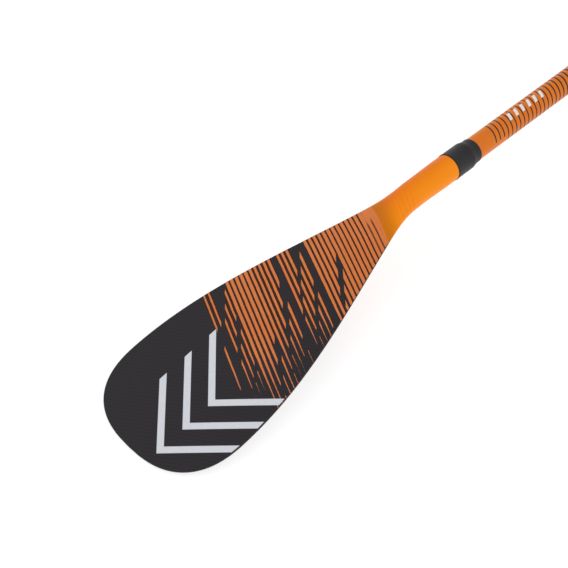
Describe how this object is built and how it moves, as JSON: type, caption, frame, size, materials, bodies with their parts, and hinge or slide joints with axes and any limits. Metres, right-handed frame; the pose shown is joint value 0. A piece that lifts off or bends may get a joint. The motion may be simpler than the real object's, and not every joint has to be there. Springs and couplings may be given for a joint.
{
  "type": "stand-up paddle",
  "caption": "Length-adjustable stand-up paddle with a canted blade, a removable blade joint with a snap button, a lever clamp and a T grip.",
  "frame": {"origin": "on the shaft's axis, at the upper edge of the rubber sleeve over the blade joint, where the bare shaft starts", "axes": "+X up the shaft towards the grip, +Y across the blade, +Z out of the blade's front face"},
  "size_m": [1.7997, 0.177, 0.108],
  "materials": {
    "blade_carbon": "fine woven carbon under clear lacquer, with golden orange brush strokes towards the neck",
    "foam": "closed-cell foam",
    "neck_orange": "golden orange lacquer over laminate",
    "shaft_orange": "orange lacquer with slanted black rings",
    "black_carbon": "satin woven carbon tube",
    "black_plastic": "moulded plastic",
    "rubber": "moulded rubber",
    "orange_soft": "soft orange rubber",
    "steel": "stainless steel",
    "spring_steel": "spring steel strip"
  },
  "bodies": {
    "shaft": {"blade_front_skin": "blade_carbon", "blade_back_skin": "blade_carbon", "blade_core": "foam", "neck": "neck_orange", "neck_core": "foam", "joint_sleeve": "rubber", "main_shaft": "shaft_orange", "shaft_end_plug": "black_plastic", "end_plug_seal": "rubber", "shaft_foam_plug": "foam", "snap_spring": "spring_steel", "guide_bush": "black_plastic", "clamp_collar": "black_plastic", "clamp_pad": "steel", "clamp_pivot": "steel", "clamp_screw": "steel", "clamp_washer": "steel"},
    "extension": {"extension_tube": "black_carbon", "slide_plug": "black_plastic", "extension_foam_plug": "foam", "grip_handle": "black_plastic", "grip_pad": "orange_soft", "grip_ring": "orange_soft", "grip_rivet": "steel"},
    "lever": {"clamp_lever": "black_plastic"},
    "button": {"snap_button": "steel"}
  },
  "joints": [
    {"name": "extension_slide", "type": "slide", "parent": "shaft", "child": "extension", "axis": [1, 0, 0], "range_m": [0, 0.4]},
    {"name": "lever_hinge", "type": "hinge", "parent": "shaft", "child": "lever", "pos_m": [0.8, 0.0196, 0.024], "axis": [1, 0, 0], "range_deg": [0, 150]},
    {"name": "button_push", "type": "slide", "parent": "shaft", "child": "button", "axis": [0, 0, 1], "range_m": [0, 0.0033], "stiffness_N_per_m": 1500, "deforming": ["snap_spring"]}
  ]
}
